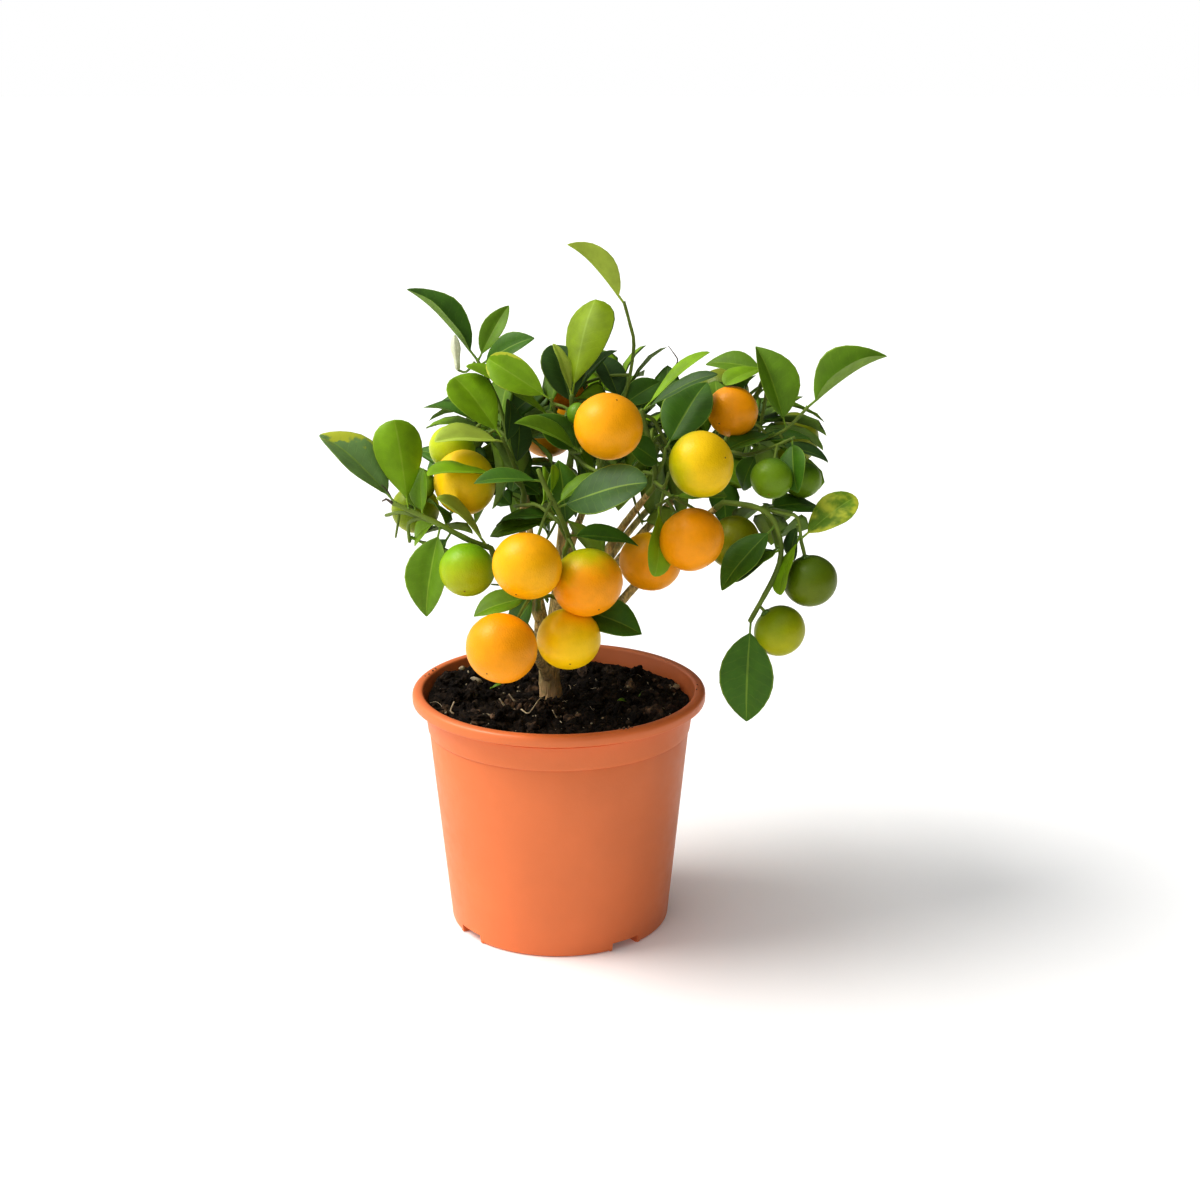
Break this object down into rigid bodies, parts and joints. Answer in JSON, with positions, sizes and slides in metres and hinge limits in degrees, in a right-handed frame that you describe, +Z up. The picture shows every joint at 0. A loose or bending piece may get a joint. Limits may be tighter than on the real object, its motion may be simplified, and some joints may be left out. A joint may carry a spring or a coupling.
{
  "type": "potted calamondin orange tree",
  "caption": "Small potted citrus tree: tapered round pot with a rolled rim and notched foot, filled with soil, a short forked trunk and a spreading crown of oval leaves with round fruit.",
  "frame": {"origin": "centre of the pot's flat underside", "axes": "+Z up along the pot's axis; -Y is the side the picture was taken from; +X is the viewer's right"},
  "size_m": [0.2757, 0.2255, 0.3485],
  "materials": {
    "pot_plastic": "satin terracotta-coloured plastic",
    "soil": "damp, crumbly peat",
    "bark": "matte, finely ridged bark",
    "leaf": "satin green leaves with orange, yellow and green fruit"
  },
  "bodies": {
    "root": {"pot": "pot_plastic", "soil": "soil", "trunk": "bark", "bough_leader": "bark", "bough_left": "bark", "bough_upper_left": "bark", "bough_front": "bark", "bough_front_low": "bark", "bough_right": "bark", "bough_far_right": "bark", "bough_upper_right": "bark", "bough_back_left": "bark", "bough_back": "bark", "bough_back_right": "bark", "foliage_left": "leaf", "foliage_upper_left": "leaf", "foliage_top": "leaf", "foliage_front": "leaf", "foliage_front_low": "leaf", "foliage_right": "leaf", "foliage_upper_right": "leaf", "foliage_right_hanging": "leaf", "foliage_back_left": "leaf", "foliage_back": "leaf", "foliage_back_right": "leaf"}
  },
  "joints": []
}
